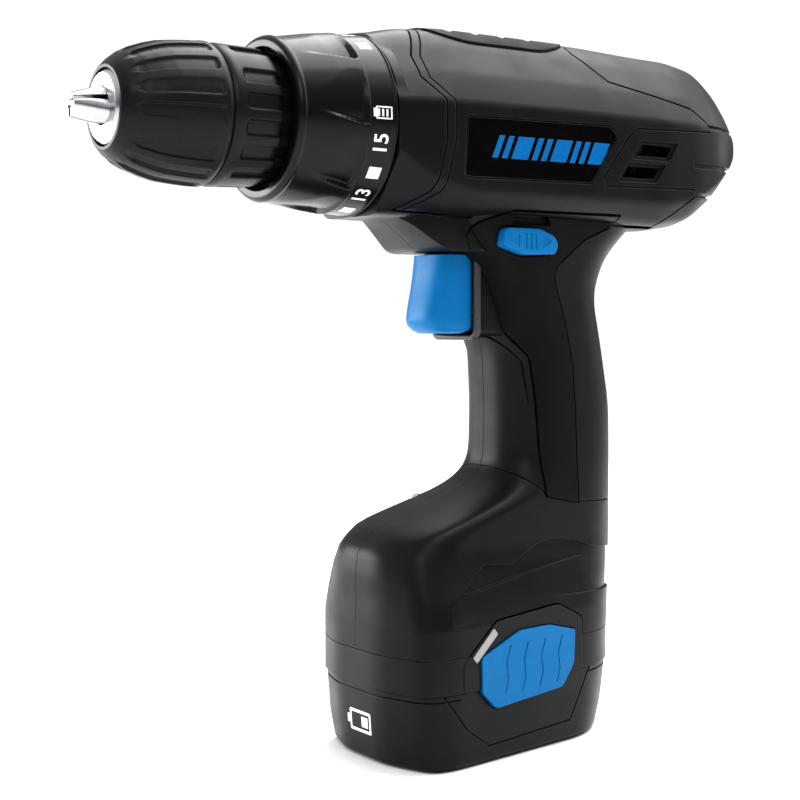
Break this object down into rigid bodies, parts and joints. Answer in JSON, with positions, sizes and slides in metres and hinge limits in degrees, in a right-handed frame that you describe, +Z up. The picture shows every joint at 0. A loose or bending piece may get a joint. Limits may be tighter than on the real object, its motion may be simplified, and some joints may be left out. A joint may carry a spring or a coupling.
{
  "type": "cordless drill",
  "caption": "Pistol-grip cordless drill with a keyless three-jaw chuck, torque collar, trigger, direction selector and slide-off battery in its foot.",
  "frame": {"origin": "on the battery's flat base, on the handle's mid-plane, 198 mm below the drive axis", "axes": "+Z up from the base, -X along the drive axis out of the chuck, -Y to the tool's left side"},
  "size_m": [0.2515, 0.063, 0.2304],
  "materials": {
    "housing_plastic": "fine moulded texture, satin",
    "gear_case_plastic": "satin glass-filled nylon",
    "collar_plastic": "polished",
    "sleeve_plastic": "satin",
    "soft_grip_rubber": "matte overmoulded elastomer",
    "label_gloss": "high gloss",
    "blue_plastic": "satin moulded",
    "battery_plastic": "satin",
    "cell_wrap": "shrink sleeve",
    "inner_plastic": "moulded",
    "chuck_steel": "ground",
    "plated_steel": "zinc plated",
    "gear_steel": "sintered steel",
    "bearing_steel": "polished",
    "spring_steel": "oiled wire",
    "rotor_steel": "laminated",
    "copper": "enamelled copper",
    "bronze": "sintered bronze",
    "carbon_brush": "graphite",
    "ferrite": "sintered ferrite"
  },
  "bodies": {
    "housing": {"left_housing": "housing_plastic", "right_housing": "housing_plastic", "rear_cap": "housing_plastic", "label_plates": "label_gloss", "left_soft_grip": "soft_grip_rubber", "right_soft_grip": "soft_grip_rubber", "top_grip_pad": "soft_grip_rubber", "housing_screws": "plated_steel", "gear_case": "gear_case_plastic", "gear_plate": "plated_steel", "clutch_ring_gear": "gear_steel", "fixed_ring_gear": "gear_steel", "bearing_outer_ring": "bearing_steel", "clutch_pins": "gear_steel", "clutch_washer": "plated_steel", "clutch_spring": "spring_steel", "motor_can": "plated_steel", "motor_end_bell": "inner_plastic", "motor_magnets": "ferrite", "motor_brushes": "carbon_brush", "motor_bushings": "bronze", "switch_body": "inner_plastic", "terminal_block": "inner_plastic", "trigger_spring": "spring_steel"},
    "output": {"chuck_body": "chuck_steel", "rear_sleeve": "sleeve_plastic", "chuck_screw": "plated_steel", "spindle": "gear_steel", "bearing_inner_ring": "bearing_steel", "bearing_balls": "bearing_steel", "output_carrier": "gear_steel"},
    "first_carrier": {"first_carrier": "gear_steel"},
    "rotor": {"motor_shaft": "gear_steel", "motor_pinion": "gear_steel", "rotor_core": "rotor_steel", "rotor_windings": "copper", "commutator": "copper", "cooling_fan": "inner_plastic"},
    "chuck_sleeve": {"front_sleeve": "sleeve_plastic", "jaw_nut": "gear_steel"},
    "torque_collar": {"torque_collar": "collar_plastic"},
    "clutch_ring": {"clutch_ring": "collar_plastic"},
    "trigger": {"trigger": "blue_plastic"},
    "selector": {"direction_selector": "blue_plastic"},
    "battery": {"battery_upper_case": "battery_plastic", "battery_lower_case": "battery_plastic", "battery_cells": "cell_wrap", "battery_screws": "plated_steel", "button_springs": "spring_steel"},
    "left_button": {"left_release_button": "blue_plastic"},
    "right_button": {"right_release_button": "blue_plastic"},
    "jaw_1": {"chuck_jaw_1": "chuck_steel"},
    "jaw_2": {"chuck_jaw_2": "chuck_steel"},
    "jaw_3": {"chuck_jaw_3": "chuck_steel"},
    "planet_2_a": {"planet_gear_2_a": "gear_steel"},
    "planet_2_b": {"planet_gear_2_b": "gear_steel"},
    "planet_2_c": {"planet_gear_2_c": "gear_steel"},
    "planet_1_a": {"planet_gear_1_a": "gear_steel"},
    "planet_1_b": {"planet_gear_1_b": "gear_steel"},
    "planet_1_c": {"planet_gear_1_c": "gear_steel"}
  },
  "joints": [
    {"name": "output_spin", "type": "hinge", "parent": "housing", "child": "output", "pos_m": [-0.1, 0, 0.198], "axis": [1, 0, 0], "continuous": true},
    {"name": "first_carrier_spin", "type": "hinge", "parent": "housing", "child": "first_carrier", "pos_m": [-0.022, 0, 0.198], "axis": [1, 0, 0], "continuous": true},
    {"name": "rotor_spin", "type": "hinge", "parent": "housing", "child": "rotor", "pos_m": [0.02, 0, 0.198], "axis": [1, 0, 0], "continuous": true},
    {"name": "sleeve_turn", "type": "hinge", "parent": "output", "child": "chuck_sleeve", "pos_m": [-0.11, 0, 0.198], "axis": [1, 0, 0], "range_deg": [-360, 2160]},
    {"name": "jaw_1_slide", "type": "slide", "parent": "output", "child": "jaw_1", "axis": [0.9613, 0, 0.2756], "range_m": [-0.0022, 0.0126]},
    {"name": "jaw_2_slide", "type": "slide", "parent": "output", "child": "jaw_2", "axis": [0.9613, -0.2387, -0.1378], "range_m": [-0.0022, 0.0126]},
    {"name": "jaw_3_slide", "type": "slide", "parent": "output", "child": "jaw_3", "axis": [0.9613, 0.2387, -0.1378], "range_m": [-0.0022, 0.0126]},
    {"name": "collar_turn", "type": "hinge", "parent": "housing", "child": "torque_collar", "pos_m": [-0.06, 0, 0.198], "axis": [1, 0, 0], "range_deg": [0, 270]},
    {"name": "clutch_ring_slide", "type": "slide", "parent": "torque_collar", "child": "clutch_ring", "axis": [1, 0, 0], "range_m": [0, 0.0061], "deforming": ["clutch_spring"]},
    {"name": "planet_2_a_spin", "type": "hinge", "parent": "output", "child": "planet_2_a", "pos_m": [-0.029, 0, 0.21], "axis": [1, 0, 0], "continuous": true},
    {"name": "planet_2_b_spin", "type": "hinge", "parent": "output", "child": "planet_2_b", "pos_m": [-0.029, -0.01039, 0.192], "axis": [1, 0, 0], "continuous": true},
    {"name": "planet_2_c_spin", "type": "hinge", "parent": "output", "child": "planet_2_c", "pos_m": [-0.029, 0.01039, 0.192], "axis": [1, 0, 0], "continuous": true},
    {"name": "planet_1_a_spin", "type": "hinge", "parent": "first_carrier", "child": "planet_1_a", "pos_m": [-0.014, 0, 0.21], "axis": [1, 0, 0], "continuous": true},
    {"name": "planet_1_b_spin", "type": "hinge", "parent": "first_carrier", "child": "planet_1_b", "pos_m": [-0.014, -0.01039, 0.192], "axis": [1, 0, 0], "continuous": true},
    {"name": "planet_1_c_spin", "type": "hinge", "parent": "first_carrier", "child": "planet_1_c", "pos_m": [-0.014, 0.01039, 0.192], "axis": [1, 0, 0], "continuous": true},
    {"name": "trigger_pull", "type": "slide", "parent": "housing", "child": "trigger", "axis": [1, 0, 0], "range_m": [0, 0.007], "stiffness_N_per_m": 800, "springref_m": -0.004, "deforming": ["trigger_spring"]},
    {"name": "selector_slide", "type": "slide", "parent": "housing", "child": "selector", "axis": [0, 1, 0], "range_m": [-0.003, 0.003]},
    {"name": "battery_slide", "type": "slide", "parent": "housing", "child": "battery", "axis": [0, 0, -1], "range_m": [0, 0.05]},
    {"name": "left_release", "type": "slide", "parent": "battery", "child": "left_button", "axis": [0, 1, 0], "range_m": [0, 0.0025], "stiffness_N_per_m": 900, "springref_m": -0.002, "deforming": ["button_springs"]},
    {"name": "right_release", "type": "slide", "parent": "battery", "child": "right_button", "axis": [0, -1, 0], "range_m": [0, 0.0025], "stiffness_N_per_m": 900, "springref_m": -0.002, "deforming": ["button_springs"]}
  ],
  "couplings": [
    {"joint": "first_carrier_spin", "follows": "output_spin", "ratio": 5},
    {"joint": "rotor_spin", "follows": "output_spin", "ratio": 25},
    {"joint": "planet_2_a_spin", "follows": "output_spin", "ratio": -2.6667},
    {"joint": "planet_1_a_spin", "follows": "output_spin", "ratio": -13.333},
    {"joint": "planet_2_b_spin", "follows": "output_spin", "ratio": -2.6667},
    {"joint": "planet_1_b_spin", "follows": "output_spin", "ratio": -13.333},
    {"joint": "planet_2_c_spin", "follows": "output_spin", "ratio": -2.6667},
    {"joint": "planet_1_c_spin", "follows": "output_spin", "ratio": -13.333},
    {"joint": "jaw_1_slide", "follows": "sleeve_turn", "m_per_rad": 0.00033114},
    {"joint": "jaw_2_slide", "follows": "sleeve_turn", "m_per_rad": 0.00033114},
    {"joint": "jaw_3_slide", "follows": "sleeve_turn", "m_per_rad": 0.00033114},
    {"joint": "clutch_ring_slide", "follows": "collar_turn", "m_per_rad": 0.0012732}
  ]
}
